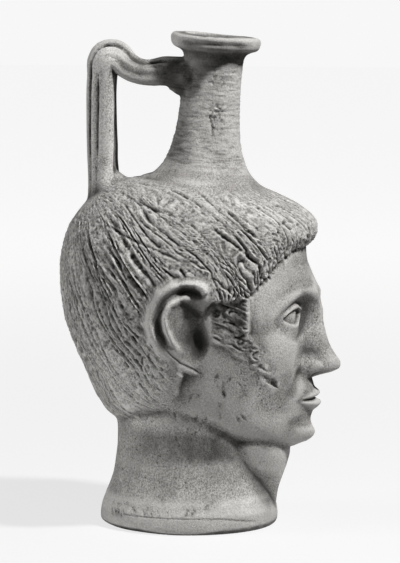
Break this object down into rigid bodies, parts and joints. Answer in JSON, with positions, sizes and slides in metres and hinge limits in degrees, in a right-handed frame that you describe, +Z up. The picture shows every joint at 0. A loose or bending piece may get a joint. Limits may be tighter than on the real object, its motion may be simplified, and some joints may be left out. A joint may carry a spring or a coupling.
{
  "type": "lagynos",
  "caption": "One-handled fired clay flask in the form of a man's head, with a slender neck, flaring lip and ribbed strap handle.",
  "frame": {"origin": "middle of the flat underside of the foot", "axes": "+Z up along the vessel; the face looks along -Y and the handle is on the +Y side; +X is the head's own left"},
  "size_m": [0.1267, 0.1467, 0.2547],
  "materials": {
    "fired_clay": "unglazed fired clay, matt and fine-grained, worn, with small pits and wheel marks"
  },
  "bodies": {
    "root": {"lagynos": "fired_clay"}
  },
  "joints": []
}
